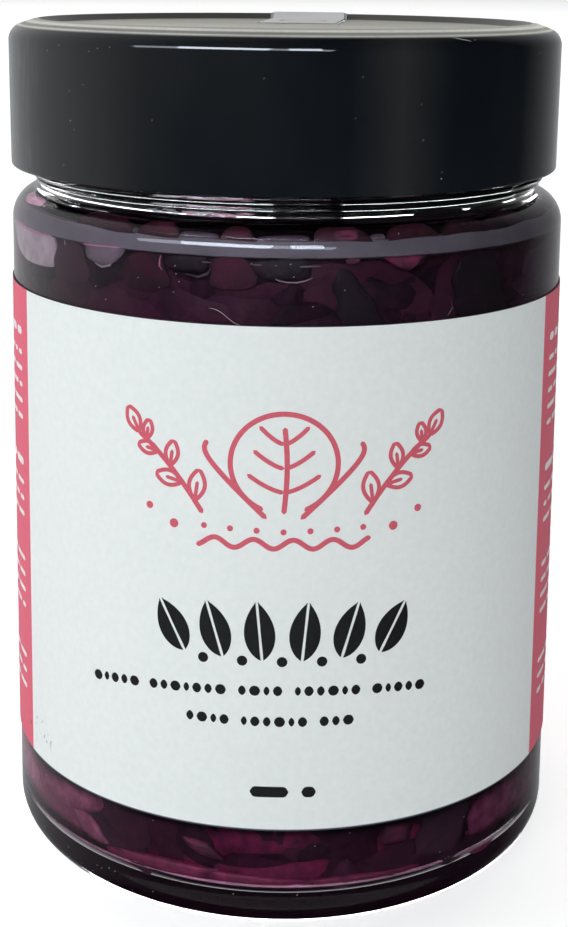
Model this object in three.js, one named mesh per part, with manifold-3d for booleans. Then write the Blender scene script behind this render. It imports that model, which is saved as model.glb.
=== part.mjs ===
// A closed glass jar of fermented red cabbage: glass, screw lid, wrap label, seal strip and contents.
// Millimetres, +Z up. The origin is the centre of the base, on the surface that the jar stands on.
import * as THREE from 'three';
import { mergeVertices } from 'three/addons/utils/BufferGeometryUtils.js';
import Module from 'manifold-3d';

const wasm = await Module();
wasm.setup();

// Driving sizes of the jar
const GLASS_R = 36.6;             // outside radius of the straight wall
const WALL = 2.3;                 // thickness of the straight wall
const HEEL_REACH = 4.4;           // how far the foot ring's edge lies inside the wall
const HEEL_HEIGHT = 4.6;          // height at which the heel meets the straight wall
const FOOT_WIDTH = 1.5;           // flat ring that the jar stands on
const PUSH_UP = 2.2;              // height of the hollow under the base
const FLOOR_Z = 4.1;              // inside floor at its lowest ring
const FLOOR_DOME = 0.8;           // rise of the inside floor towards the middle
const FLOOR_CORNER = 3.0;         // inside radius between floor and wall
const SHOULDER_Z = 83.8;          // height at which the wall starts to turn in
const SHOULDER_R = 4.0;           // radius of the shoulder
const INNER_SHOULDER_Z = 84.6;    // height at which the inside starts to turn in
const INNER_SHOULDER_R = 1.7;     // radius of that turn
const INNER_SHOULDER_TURN = 75;   // degrees that it turns, to the slope under the mouth
const NECK_R = 33.0;              // outside radius of the neck
const MOUTH_R = 30.4;             // inside radius of the neck
const MOUTH_FILLET = 1.0;         // radius of the turn from that slope up into the neck
const MOUTH_FILLET_Z = 87.9;      // height at which that turn is upright
const BEADS = [                   // beads under the lid: middle height, reach out of the neck, half height
  { z: 88.72, reach: 0.5, half: 0.33 },
  { z: 89.55, reach: 1.0, half: 0.45 },
];
const RIM_Z = 106.3;              // top of the glass rim

// Driving sizes of the lid
const LID_R = 36.35;              // outside radius at the top of the skirt
const LID_TAPER = 0.15;           // the skirt is this much narrower at the hem
const LID_BOTTOM = 90.6;          // lower edge of the hem
const LID_TOP = 109.5;            // crest of the rim
const LID_SHEET = 0.45;           // thickness of the metal
const LID_EDGE_Z = 107.0;         // height at which the skirt starts to turn in
const LID_EDGE_R = 2.0;           // outside radius between the skirt and the slope up to the crest
const LID_EDGE_TURN = 65;         // degrees that this round turns
const CREST_OUT = 33.4;           // radius at which the slope meets the crest
const CREST_RISE = 0.15;          // how far the crest rises above that point
const CREST_R = 32.5;             // highest ring
const PANEL_R = 31.6;             // radius at which the inner slope meets the sunk panel
const PANEL_DEPTH = 0.95;         // depth of the panel below the crest
const HEM = 0.85;                 // width of the curled hem
const LID_SHIFT_X = -0.5;         // the lid sits slightly to one side on its thread

// Driving sizes of the paper
const PAPER_GAP = 0.05;           // space left between paper and what carries it
const LABEL_SHEET = 0.15;         // thickness of the label
const LABEL_BOTTOM = 14.1;
const LABEL_TOP = 75.9;
const LABEL_OPEN_STEPS = 2;       // facets left bare behind, where the label's ends don't meet
const SEAL_SHEET = 0.12;
const SEAL_WIDTH = 11.6;
const SEAL_GAP = 0.12;
const SEAL_TURN = 5.5;            // degrees from straight behind, towards +X
const SEAL_REACH_IN = 12.5;       // radius at which the strip starts on the panel
const SEAL_END_Z = 78.5;          // lower end of the strip, on the glass

// Driving sizes of the contents
const HEAP_R = 33.0;              // packed core
const HEAP_FACETS = 36;
const HEAP_TOP = 82.9;            // top of the core along the wall
const CROWN_R = 27.0;             // the middle of the heap stands out of the brine inside this radius
const CROWN_TOP = 85.4;
const HEAP_CLEAR = 0.4;           // space kept between shreds and glass
const SHRED_THICK = 2.0;          // with the part that is sunk in the core
const LAYER = 0.4;                // shreds that cross lie this far under one another
const SHRED_STEPS = 4;            // facets along a shred

// Facets round every turned piece, and its colour and surface
const FACETS = 60;
const STEP = 2 * Math.PI / FACETS;

const material = (color, roughness, metalness = 0, extra = {}) =>
  new THREE.MeshStandardMaterial({ color, roughness, metalness, ...extra });
const GLASS = material(0xdfe6e4, 0.05, 0, { transparent: true, opacity: 0.35 });
const LID = material(0x15181c, 0.35, 0.4);
const LABEL = material(0xe6ecec, 0.7);
const SEAL = material(0xf0f2f2, 0.6);
const CABBAGE = material(0x4a1a33, 0.45);

const degrees = THREE.MathUtils.degToRad;

// A seeded draw, so that every build gives the same heap
function seededDraw(seed) {
  let state = seed;
  return (low, high) => {
    state = (state + 0x6d2b79f5) | 0;
    let t = Math.imul(state ^ (state >>> 15), 1 | state);
    t = (t + Math.imul(t ^ (t >>> 7), 61 | t)) ^ t;
    return low + (high - low) * (((t ^ (t >>> 14)) >>> 0) / 4294967296);
  };
}

// Points of an elliptic arc in the radius-height plane, angles in degrees from the outward direction
function arc(centreR, centreZ, reachR, reachZ, from, to, steps) {
  const points = [];
  for (let i = 0; i <= steps; i += 1) {
    const a = degrees(from + (to - from) * i / steps);
    points.push([centreR + reachR * Math.cos(a), centreZ + reachZ * Math.sin(a)]);
  }
  return points;
}

// A body turned about +Z from a profile of [radius, height] pairs
function turned(profile, facets = FACETS) {
  const points = profile.map(([r, z]) => new THREE.Vector2(Math.max(r, 0), z));
  return new THREE.LatheGeometry(points, facets).rotateX(Math.PI / 2);
}

function mesh(name, geometry, look) {
  const piece = new THREE.Mesh(geometry, look);
  piece.name = name;
  return piece;
}

// The glass: foot ring, heel, straight wall, round shoulder, neck with its beads, rim and inside
function glassJar() {
  const footR = GLASS_R - HEEL_REACH;
  const innerR = GLASS_R - WALL;
  const underside = [
    [0, PUSH_UP],
    [footR * 0.62, PUSH_UP * 0.9],
    [footR - FOOT_WIDTH - 1.2, 0.7],
    [footR - FOOT_WIDTH, 0],
  ];
  const heel = arc(footR, HEEL_HEIGHT, HEEL_REACH, HEEL_HEIGHT, -90, 0, 5);
  const shoulder = arc(GLASS_R - SHOULDER_R, SHOULDER_Z, SHOULDER_R, SHOULDER_R, 0, 84, 6);
  const beads = BEADS.flatMap(({ z, reach, half }) => arc(NECK_R, z, reach, half, -90, 90, 3));
  const rimR = (NECK_R - MOUTH_R) / 2;
  const rim = arc(NECK_R - rimR, RIM_Z - rimR, rimR, rimR, 0, 180, 4);
  const mouth = arc(MOUTH_R + MOUTH_FILLET, MOUTH_FILLET_Z, MOUTH_FILLET, MOUTH_FILLET, 180, 255, 2);
  const innerShoulder = arc(
    innerR - INNER_SHOULDER_R, INNER_SHOULDER_Z, INNER_SHOULDER_R, INNER_SHOULDER_R,
    INNER_SHOULDER_TURN, 0, 3,
  );
  const floorCorner = arc(
    innerR - FLOOR_CORNER, FLOOR_Z + FLOOR_CORNER, FLOOR_CORNER, FLOOR_CORNER, 0, -90, 3,
  );
  return mesh('glass_jar', turned([
    ...underside, ...heel, ...shoulder, ...beads, ...rim, ...mouth, ...innerShoulder, ...floorCorner,
    [innerR * 0.5, FLOOR_Z + FLOOR_DOME * 0.75],
    [0, FLOOR_Z + FLOOR_DOME],
  ]), GLASS);
}

// The outside of the lid from hem to middle, moved in by the sheet's thickness for its inside
function lidSide(inset, steps) {
  const top = LID_TOP - inset;
  const panel = top - PANEL_DEPTH;
  const fillet = 0.35;
  return [
    ...arc(LID_R - LID_EDGE_R, LID_EDGE_Z, LID_EDGE_R - inset, LID_EDGE_R - inset, 0, LID_EDGE_TURN, steps),
    [CREST_OUT, top - CREST_RISE],
    [CREST_R, top],
    [CREST_R - fillet, top - fillet * 0.6],
    [PANEL_R + fillet * 0.5, panel + fillet * 0.5],
    [PANEL_R - fillet * 0.6, panel],
    [0, panel],
  ];
}

function lid() {
  const hemR = LID_R - LID_TAPER;
  const outside = [
    ...arc(hemR - HEM / 2, LID_BOTTOM + HEM / 2, HEM / 2, HEM / 2, -180, 0, 6),
    ...lidSide(0, 5),
  ];
  const inside = lidSide(LID_SHEET, 3).reverse();
  const curl = [
    [hemR - LID_SHEET, LID_BOTTOM + HEM * 1.7],
    [hemR - HEM, LID_BOTTOM + HEM * 1.1],
    [hemR - HEM, LID_BOTTOM + HEM / 2],
  ];
  return mesh('lid', turned([...outside, ...inside, ...curl]), LID);
}

// The wrap label: a thin sheet on the same facets as the glass, open by a few facets behind
function label() {
  const inner = GLASS_R + PAPER_GAP;
  const outer = inner + LABEL_SHEET;
  const first = Math.PI / 2 + STEP * LABEL_OPEN_STEPS / 2;
  const covered = FACETS - LABEL_OPEN_STEPS;
  const around = (r, k) => new THREE.Vector2(r * Math.cos(first + k * STEP), r * Math.sin(first + k * STEP));
  const outline = [];
  for (let k = 0; k <= covered; k += 1) outline.push(around(outer, k));
  for (let k = covered; k >= 0; k -= 1) outline.push(around(inner, k));
  const sheet = new THREE.ExtrudeGeometry(new THREE.Shape(outline), {
    depth: LABEL_TOP - LABEL_BOTTOM,
    bevelEnabled: false,
  });
  return mesh('label', sheet.translate(0, 0, LABEL_BOTTOM), LABEL);
}

// The route of the seal strip's middle line: over the panel, up the rim, down the skirt, onto the glass
function sealRoute(offset) {
  const panel = LID_TOP - PANEL_DEPTH + offset;
  const top = LID_TOP + offset;
  const skirt = LID_R + offset;
  return [
    [SEAL_REACH_IN, panel],
    [PANEL_R - 0.6 - offset, panel],
    [CREST_R - 0.2, top],
    [CREST_OUT + 0.1, top - CREST_RISE],
    ...arc(LID_R - LID_EDGE_R, LID_EDGE_Z, LID_EDGE_R + offset, LID_EDGE_R + offset, LID_EDGE_TURN, 0, 5),
    [skirt, LID_BOTTOM + 1],
    [GLASS_R + offset, SHOULDER_Z],
    [GLASS_R + offset, SEAL_END_Z],
  ];
}

// The strip is extruded flat across its width, then bent round the jar's axis
function sealStrip() {
  const lower = sealRoute(SEAL_GAP);
  const upper = sealRoute(SEAL_GAP + SEAL_SHEET);
  const outline = [...upper, ...lower.reverse()].map(([r, z]) => new THREE.Vector2(r, z));
  const strip = new THREE.ExtrudeGeometry(new THREE.Shape(outline), {
    depth: SEAL_WIDTH,
    steps: 6,
    bevelEnabled: false,
  });
  const places = strip.attributes.position;
  for (let i = 0; i < places.count; i += 1) {
    const r = places.getX(i);
    const z = places.getY(i);
    const across = places.getZ(i) - SEAL_WIDTH / 2;
    const bend = THREE.MathUtils.smoothstep(r, SEAL_REACH_IN, PANEL_R - 2);
    const along = r + (Math.sqrt(r * r - across * across) - r) * bend;
    places.setXYZ(i, across, along, z);
  }
  strip.rotateZ(-degrees(SEAL_TURN));
  return mesh('seal_strip', strip, SEAL);
}

// Joins and cuts need closed bodies with shared vertices
function toSolid(geometry) {
  const bare = geometry.clone();
  bare.deleteAttribute('normal');
  bare.deleteAttribute('uv');
  const merged = mergeVertices(bare, 1e-3);
  const corners = [];
  const index = merged.index.array;
  for (let i = 0; i < index.length; i += 3) {
    const [a, b, c] = [index[i], index[i + 1], index[i + 2]];
    if (a !== b && b !== c && c !== a) corners.push(a, b, c);
  }
  return new wasm.Manifold(new wasm.Mesh({
    numProp: 3,
    vertProperties: new Float32Array(merged.attributes.position.array),
    triVerts: new Uint32Array(corners),
  }));
}

function fromSolid(solid) {
  const shape = solid.getMesh();
  const geometry = new THREE.BufferGeometry();
  geometry.setAttribute('position', new THREE.BufferAttribute(shape.vertProperties, 3));
  geometry.setIndex(new THREE.BufferAttribute(shape.triVerts, 1));
  geometry.computeVertexNormals();
  return geometry;
}

// The largest shell alone, which fills sealed pockets and drops loose scraps.
// Merging close corners can shut another pocket, so it repeats until one shell is left.
function outerShell(solid) {
  let largest = solid;
  let count = 0;
  while (count !== 1) {
    const shells = toSolid(fromSolid(largest)).decompose();
    largest = shells.reduce((best, shell) => (shell.volume() > best.volume() ? shell : best));
    count = shells.length;
  }
  return largest;
}

// How far the inside of the glass has drawn in at a height, at the floor's corner and at the shoulder
function drawnIn(z) {
  const low = Math.max(0, FLOOR_Z + FLOOR_CORNER - z);
  const high = Math.max(0, z - INNER_SHOULDER_Z);
  return FLOOR_CORNER - Math.sqrt(Math.max(0, FLOOR_CORNER ** 2 - low ** 2)) + 0.4 * high ** 2;
}

// A shred pressed against the glass: a flat strip bent round the axis, with a ripple along it
function wallShred({ angle, height, tilt, length, width, radius, ripple }) {
  const strip = new THREE.BoxGeometry(length, SHRED_THICK, width, SHRED_STEPS, 1, 1);
  const places = strip.attributes.position;
  for (let i = 0; i < places.count; i += 1) {
    const s = places.getX(i);
    const w = -places.getZ(i) * (1 - 0.5 * (2 * s / length) ** 4);
    const turn = angle + (s * Math.cos(tilt) - w * Math.sin(tilt)) / radius;
    const z = height + s * Math.sin(tilt) + w * Math.cos(tilt) + ripple * Math.sin(3 * s / length);
    const out = radius + places.getY(i) - drawnIn(z);
    places.setXYZ(i, out * Math.cos(turn), out * Math.sin(turn), z);
  }
  return strip;
}

// A shred that lies on top of the heap, curved in plan
function topShred({ angle, reach, height, heading, length, width, curl }) {
  const strip = new THREE.BoxGeometry(length, width, SHRED_THICK, SHRED_STEPS, 1, 1);
  const places = strip.attributes.position;
  for (let i = 0; i < places.count; i += 1) {
    const s = places.getX(i);
    const bow = curl * (2 * s / length) ** 2;
    const lift = 0.8 * Math.cos(2.4 * s / length);
    places.setXYZ(i, s, places.getY(i) + bow, places.getZ(i) + lift);
  }
  strip.rotateZ(heading).translate(reach, 0, height).rotateZ(angle);
  return strip;
}

// The packed cabbage: a core with the shreds that show above and below the label, and at its open ends
function cabbage() {
  const draw = seededDraw(20);
  const shredR = GLASS_R - WALL - HEAP_CLEAR - SHRED_THICK / 2;
  const base = FLOOR_Z + FLOOR_DOME + 0.5;
  let heap = toSolid(turned([
    [0, base],
    [HEAP_R - FLOOR_CORNER, base],
    [HEAP_R - 0.9, base + 1.6],
    [HEAP_R, base + 4.2],
    [HEAP_R, HEAP_TOP - 0.6],
    [HEAP_R - 0.8, HEAP_TOP],
    [CROWN_R + 1.5, HEAP_TOP + 0.5],
    [CROWN_R, CROWN_TOP - 0.6],
    [CROWN_R * 0.6, CROWN_TOP],
    [0, CROWN_TOP],
  ], HEAP_FACETS));
  const addWallBand = (count, low, high, tiltMost, layer) => {
    for (let k = 0; k < count; k += 1) {
      heap = heap.add(toSolid(wallShred({
        angle: 2 * Math.PI * (k + draw(-0.3, 0.3)) / count,
        height: draw(low, high),
        tilt: degrees(draw(-tiltMost, tiltMost)),
        length: draw(12, 22),
        width: draw(2.2, 4.6),
        radius: shredR - layer - LAYER * (k % 2),
        ripple: draw(-0.8, 0.8),
      })));
    }
  };
  addWallBand(16, 8.8, 11.6, 12, 0);
  addWallBand(14, 76, 78.4, 22, 0);
  addWallBand(14, 79.6, 80.8, 8, LAYER / 2);
  const behind = 3;
  for (let k = 0; k < behind; k += 1) {
    heap = heap.add(toSolid(wallShred({
      angle: degrees(90 + draw(-5, 5)),
      height: 26 + 18 * k,
      tilt: degrees(draw(40, 70)),
      length: draw(12, 16),
      width: draw(2.4, 4),
      radius: shredR,
      ripple: 0.5,
    })));
  }
  const onTop = 10;
  for (let k = 0; k < onTop; k += 1) {
    heap = heap.add(toSolid(topShred({
      angle: 2 * Math.PI * (k + draw(-0.3, 0.3)) / onTop,
      reach: draw(10, 21),
      height: CROWN_TOP + draw(-0.3, 0.4),
      heading: degrees(draw(40, 140)),
      length: draw(12, 19),
      width: draw(2.2, 3.6),
      curl: draw(-2, 2),
    })));
  }
  return mesh('cabbage', fromSolid(outerShell(heap)), CABBAGE);
}

const jar = new THREE.Group();
jar.name = 'fermented_red_cabbage_jar';
const cap = new THREE.Group();
cap.position.x = LID_SHIFT_X;
cap.add(lid(), sealStrip());
jar.add(glassJar(), label(), cabbage(), cap);

export default jar;
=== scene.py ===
import random
from math import asin, ceil, copysign, cos, degrees, dist, hypot, pi, radians, sin, sqrt, tan

import bmesh
import bpy
from mathutils import Matrix, Vector, noise


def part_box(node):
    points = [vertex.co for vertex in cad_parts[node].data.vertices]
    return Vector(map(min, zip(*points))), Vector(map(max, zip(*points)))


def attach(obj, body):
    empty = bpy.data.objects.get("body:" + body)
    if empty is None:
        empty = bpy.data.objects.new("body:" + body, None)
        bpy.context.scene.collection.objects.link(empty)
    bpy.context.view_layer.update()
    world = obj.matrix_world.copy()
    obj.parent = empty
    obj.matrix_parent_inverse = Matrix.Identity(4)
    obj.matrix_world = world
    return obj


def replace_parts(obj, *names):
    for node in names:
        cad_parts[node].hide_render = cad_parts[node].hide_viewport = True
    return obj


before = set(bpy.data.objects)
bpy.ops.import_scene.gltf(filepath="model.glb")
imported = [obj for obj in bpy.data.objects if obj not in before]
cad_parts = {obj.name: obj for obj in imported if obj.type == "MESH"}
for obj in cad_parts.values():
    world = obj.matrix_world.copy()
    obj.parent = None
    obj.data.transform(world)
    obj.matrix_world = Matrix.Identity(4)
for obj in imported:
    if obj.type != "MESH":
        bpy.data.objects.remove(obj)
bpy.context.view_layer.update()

MM = 0.001
BODY = "root"


def radius_and_heights(node):
    """Half width, lowest and highest point of a CAD node."""
    low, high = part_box(node)
    return (high.x - low.x) / 2 / MM, low.z / MM, high.z / MM


# Sizes read from the frame
GLASS_R, _, RIM_Z = radius_and_heights("glass_jar")
LID_R, LID_BOTTOM, LID_TOP = radius_and_heights("lid")
LABEL_R, LABEL_BOTTOM, LABEL_TOP = radius_and_heights("label")
LID_SHIFT_X = (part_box("lid")[0].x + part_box("lid")[1].x) / 2 / MM

# Sizes of the glass
SEGMENTS = 240
WALL = 2.3
HEEL_REACH = 4.4
HEEL_HEIGHT = 4.6
FOOT_WIDTH = 1.5
PUSH_UP = 2.2
FLOOR_Z = 4.1
FLOOR_DOME = 0.8
FLOOR_CORNER = 3
SHOULDER_Z = 83.8
SHOULDER_R = 4
INNER_SHOULDER_Z = 84.6
INNER_SHOULDER_R = 1.7
INNER_SHOULDER_TURN = 75
NECK_R = 33
MOUTH_R = 30.4
MOUTH_FILLET = 1
MOUTH_FILLET_Z = 87.9
BEADS = ((89.55, 1, 0.45), (88.72, 0.5, 0.33))
INNER_R = GLASS_R - WALL

# Sizes of the lid
LID_TAPER = 0.15
LID_SHEET = 0.45
LID_EDGE_Z = LID_TOP - 2.75
LID_EDGE_R = 2.2
LID_EDGE_TURN = 65
CREST_OUT = 33.4
CREST_RISE = 0.15
CREST_R = 32.5
PANEL_R = 31.6
PANEL_DEPTH = 0.95
HEM = 0.85

# Sizes of the paper and print
PAPER_GAP = 0.05
INK = 0.02
LABEL_OPEN = 12
LABEL_MARGIN = 0.3
SIDE_PANEL_FROM = 62.9
SEAL_GAP = 0.12
SEAL_SHEET = 0.1
SEAL_WIDTH = 11.6
SEAL_MARGIN = 0.45
SEAL_TURN = 5.5
SEAL_REACH_IN = 12.5
SEAL_END_Z = 78.5

# Sizes of the contents
BRINE_TOP = 85.2
BRINE_SINK = 0.06
MENISCUS = 1
PRESSED_TOP = 83.5
CORE_R = 32.4
CORE_TOP = 82.4
CROWN_R = 28.5
CROWN_TOP = 85.6
SHRED_CLEAR = 0.04
SHRED_SIDES = 8
WALL_SHREDS = 190
GAP_SHREDS = 60
TOP_SHREDS = 150

# How far the corners of a leaf are pulled in, from upper left clockwise
SOFT = (0.25,) * 4
HALF_ROUND = (0.05, 0.05, 0.55, 0.55)
PALE_ENDS = (0.1, 0.05, 0.06, 0.3)
ONE_ROUND = (0.4, 0.1, 0.1, 0.1)

# Aim and elevation of the lights in front
MIDDLE = Vector((0, 0, LID_TOP / 2))
LIGHT_RISE = 27

# Where glass and brine touch they hardly mirror, so the mirroring of both is turned down there.
WETTED = (0.06, 0.06, 0.06)


class Nodes:
    """Short ways to add nodes to a node tree."""

    def __init__(self, tree):
        self.tree = tree

    def node(self, kind, inputs=(), output=0, **settings):
        """A new node with its inputs joined or set; gives the named output."""
        made = self.tree.nodes.new("ShaderNode" + kind)
        for key, value in settings.items():
            setattr(made, key, value)
        for key, value in dict(inputs).items():
            if isinstance(value, bpy.types.NodeSocket):
                self.tree.links.new(value, made.inputs[key])
            else:
                made.inputs[key].default_value = value
        return made.outputs[output]

    def maths(self, operation, a, b=0):
        return self.node("Math", {0: a, 1: b}, operation=operation)

    def times(self, a, b):
        return self.maths("MULTIPLY", a, b)

    def less(self, a, b):
        return self.maths("SUBTRACT", a, b)

    def apart(self, a, b):
        return self.maths("ABSOLUTE", self.less(a, b))

    def squares(self, a, b):
        return self.maths("ADD", self.times(a, a), self.times(b, b))

    def band(self, value, low, high, start=0, end=1):
        """value taken from low..high to start..end, held at both ends."""
        inputs = {"Value": value, "From Min": low, "From Max": high, "To Min": start, "To Max": end}
        return self.node("MapRange", inputs)


class Look(Nodes):
    """A material: the Principled shader with its plain values, and patterns to feed its sockets."""

    def __init__(self, name, color, roughness, plain=()):
        self.material = bpy.data.materials.new(name)
        self.material.use_nodes = True
        super().__init__(self.material.node_tree)
        self.shader = self.tree.nodes["Principled BSDF"]
        self.shader.inputs["Base Color"].default_value = (*color, 1)
        self.shader.inputs["Roughness"].default_value = roughness
        for socket, value in dict(plain).items():
            self.shader.inputs[socket].default_value = value
        place = self.node("TexCoord", output="Object")
        self.place = self.node("VectorMath", {0: place, "Scale": 1 / MM}, operation="SCALE")

    def stretched(self, x, y, z):
        """Object coordinates in millimetres, stretched along the axes."""
        return self.node("VectorMath", {0: self.place, 1: (x, y, z)}, operation="MULTIPLY")

    def noise(self, scale, detail, place=None):
        inputs = {"Vector": place or self.place, "Scale": scale, "Detail": detail}
        return self.node("TexNoise", inputs, output="Fac")

    def clouds(self, scale, detail, start=0, end=1):
        return self.band(self.noise(scale, detail), 0.3, 0.7, start, end)

    def mix(self, share, a, b):
        """Two colours, or sockets that hold them, mixed by share."""
        full = [(*c, 1) if isinstance(c, tuple) else c for c in (a, b)]
        return self.node("Mix", {0: share, 6: full[0], 7: full[1]}, output=2, data_type="RGBA")

    def axis(self, name):
        return self.node("SeparateXYZ", {0: self.place}, output="XYZ".index(name))

    def azimuth(self):
        """Degrees from the front, positive to the right."""
        turn = self.maths("ARCTAN2", self.axis("X"), self.times(self.axis("Y"), -1))
        return self.maths("DEGREES", turn)

    def from_axis(self, shift_x=0):
        """Distance from the axis, or from one that stands shift_x beside it."""
        flat = self.node("VectorMath", {0: self.stretched(1, 1, 0), 1: (shift_x, 0, 0)}, operation="SUBTRACT")
        return self.node("VectorMath", {0: flat}, output="Value", operation="LENGTH")

    def specks(self, scale, size, rarity):
        """1 on small round specks, one in a cell of 1/scale mm where chance is above rarity."""
        cells = self.node("TexVoronoi", {"Vector": self.place, "Scale": scale}).node
        chosen = self.maths("GREATER_THAN", self.node("SeparateXYZ", {0: cells.outputs["Color"]}), rarity)
        return self.times(self.band(cells.outputs["Distance"], size, size * 0.6), chosen)

    def dirt(self, middle, reach, threshold):
        """Dark flecks round middle (azimuth, height), none beyond reach from it."""
        across = self.maths("DIVIDE", self.less(self.azimuth(), middle[0]), reach[0])
        up = self.maths("DIVIDE", self.less(self.axis("Z"), middle[1]), reach[1])
        flecks = self.band(self.noise(1.6, 6, self.stretched(1, 1, 0.7)), threshold, threshold + 0.08)
        return self.times(self.band(self.squares(across, up), 1, 0.4), flecks)

    def ring(self, drop, half):
        """1 on a ring that lies drop mm below the lid's top, half mm to each side."""
        return self.band(self.apart(self.axis("Z"), LID_TOP - drop), half, half * 0.5)

    def within(self, radius, low, high):
        """1 nearer to the axis than radius and between two heights."""
        near = self.maths("LESS_THAN", self.from_axis(), radius)
        above = self.maths("GREATER_THAN", self.axis("Z"), low)
        below = self.maths("LESS_THAN", self.axis("Z"), high)
        return self.times(near, self.times(above, below))

    def seal_mark(self):
        """A small ring, drawn where the seal strip lies on the lid's panel."""
        squares = self.squares(self.less(self.axis("Y"), 20.5), self.less(self.axis("X"), 2))
        return self.band(self.apart(self.maths("SQRT", squares), 3.2), 0.32, 0.22)

    def feed(self, name, socket):
        self.tree.links.new(socket, self.shader.inputs[name])

    def color(self, socket):
        self.feed("Base Color", socket)

    def bump(self, height, depth, strength):
        """depth is how far a height of 1 stands out."""
        inputs = {"Height": height, "Distance": depth * MM, "Strength": strength}
        self.feed("Normal", self.node("Bump", inputs))


def facing(turn):
    """The outward direction at an azimuth in radians."""
    return Vector((sin(turn), -cos(turn), 0))


def arc(centre_r, centre_z, reach_r, reach_z, start, stop, steps):
    """Points (radius, height) of an elliptic arc, in degrees from the outward direction."""
    points = []
    for i in range(steps + 1):
        a = radians(start + (stop - start) * i / steps)
        points.append((centre_r + reach_r * cos(a), centre_z + reach_z * sin(a)))
    return points


def placed(name, data):
    """A new object in the scene."""
    made = bpy.data.objects.new(name, data)
    bpy.context.scene.collection.objects.link(made)
    return made


def piece_from(name, places, faces, look, crease=35):
    """A piece of the object, smooth apart from edges that are sharper than crease."""
    mesh = bpy.data.meshes.new(name)
    mesh.from_pydata([(x * MM, y * MM, z * MM) for x, y, z in places], [], faces)
    shape = bmesh.new()
    shape.from_mesh(mesh)
    bmesh.ops.recalc_face_normals(shape, faces=shape.faces)
    shape.to_mesh(mesh)
    shape.free()
    mesh.shade_smooth()
    mesh.set_sharp_from_angle(angle=radians(crease))
    mesh.materials.append(look.material)
    piece = placed(name, mesh)
    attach(piece, BODY)
    return piece


def turned(name, profile, look, closed=False, shift_x=0, segments=SEGMENTS):
    """A body turned about the axis from (radius, height) pairs, with both ends on the axis or closed."""
    places, rings, faces = [], [], []
    for r, z in profile:
        count = 1 if r < 1e-6 else segments
        rings.append([len(places) + k % count for k in range(segments)])
        for k in range(count):
            a = 2 * pi * k / segments
            places.append((r * cos(a) + shift_x, r * sin(a), z))
    for low, high in zip(rings, rings[1:] + rings[:1] * closed):
        for k in range(segments):
            n = (k + 1) % segments
            corners = list(dict.fromkeys((low[k], low[n], high[n], high[k])))
            if len(corners) > 2:
                faces.append(corners)
    return piece_from(name, places, faces, look)


def glass_look():
    look = Look("glass", (0.96, 0.98, 0.97), 0, {"Transmission Weight": 1, "IOR": 1.5})
    look.bump(look.noise(0.06, 1), 0.12, 0.06)
    wetted = look.within(INNER_R + 0.3, FLOOR_Z - 0.1, BRINE_TOP + MENISCUS)
    look.feed("Specular Tint", look.mix(wetted, (1, 1, 1), WETTED))
    return look


# The inside of the glass from the mouth down to the middle of the floor
INSIDE = [
    *arc(MOUTH_R + MOUTH_FILLET, MOUTH_FILLET_Z, MOUTH_FILLET, MOUTH_FILLET, 180, 255, 10),
    *arc(
        INNER_R - INNER_SHOULDER_R, INNER_SHOULDER_Z, INNER_SHOULDER_R, INNER_SHOULDER_R,
        INNER_SHOULDER_TURN, 0, 10,
    ),
    *arc(INNER_R - FLOOR_CORNER, FLOOR_Z + FLOOR_CORNER, FLOOR_CORNER, FLOOR_CORNER, 0, -90, 16),
    (INNER_R * 0.5, FLOOR_Z + FLOOR_DOME * 0.75),
    (0, FLOOR_Z + FLOOR_DOME),
]


def glass_jar():
    foot_r = GLASS_R - HEEL_REACH
    rim_r = (NECK_R - MOUTH_R) / 2
    profile = [
        (0, PUSH_UP),
        (foot_r * 0.62, PUSH_UP * 0.9),
        (foot_r - FOOT_WIDTH - 1.2, 0.7),
        (foot_r - FOOT_WIDTH, 0),
        *arc(foot_r, HEEL_HEIGHT, HEEL_REACH, HEEL_HEIGHT, -90, 0, 16),
        *arc(GLASS_R - SHOULDER_R, SHOULDER_Z, SHOULDER_R, SHOULDER_R, 0, 84, 24),
        *[point for z, reach, half in reversed(BEADS) for point in arc(NECK_R, z, reach, half, -90, 90, 14)],
        *arc(NECK_R - rim_r, RIM_Z - rim_r, rim_r, rim_r, 0, 180, 12),
        *INSIDE,
    ]
    jar = turned("glass", profile, glass_look())
    jar.visible_shadow = False
    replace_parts(jar, "glass_jar")


def brine_look():
    look = Look("brine", (1, 1, 1), 0, {"Transmission Weight": 1, "IOR": 1.34})
    bare = look.within(INNER_R - 1.3, BRINE_TOP - 0.1, RIM_Z)
    look.feed("Specular Tint", look.mix(bare, WETTED, (1, 1, 1)))
    absorbing = look.node("VolumeAbsorption", {"Color": (0.55, 0.12, 0.45, 1), "Density": 1000})
    look.tree.links.new(absorbing, look.tree.nodes["Material Output"].inputs["Volume"])
    return look


def brine():
    """The liquid: it fills the jar up to its level in the shoulder and reaches just into the glass."""
    side, floor = INNER_R + BRINE_SINK, FLOOR_Z - BRINE_SINK
    corner, shoulder = FLOOR_CORNER, INNER_SHOULDER_R
    turn = asin((BRINE_TOP + MENISCUS - INNER_SHOULDER_Z) / shoulder)
    edge = side - shoulder * (1 - cos(turn))
    profile = [
        (0, floor + FLOOR_DOME),
        (INNER_R * 0.5, floor + FLOOR_DOME * 0.75),
        *arc(side - corner, floor + corner, corner, corner, -90, 0, 16),
        *arc(side - shoulder, INNER_SHOULDER_Z, shoulder, shoulder, 0, degrees(turn), 10),
        *arc(edge - 1.3, BRINE_TOP + MENISCUS, 1.2, MENISCUS, 0, -90, 8),
        (0, BRINE_TOP),
    ]
    liquid = turned("brine", profile, brine_look())
    liquid.visible_shadow = False


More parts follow.
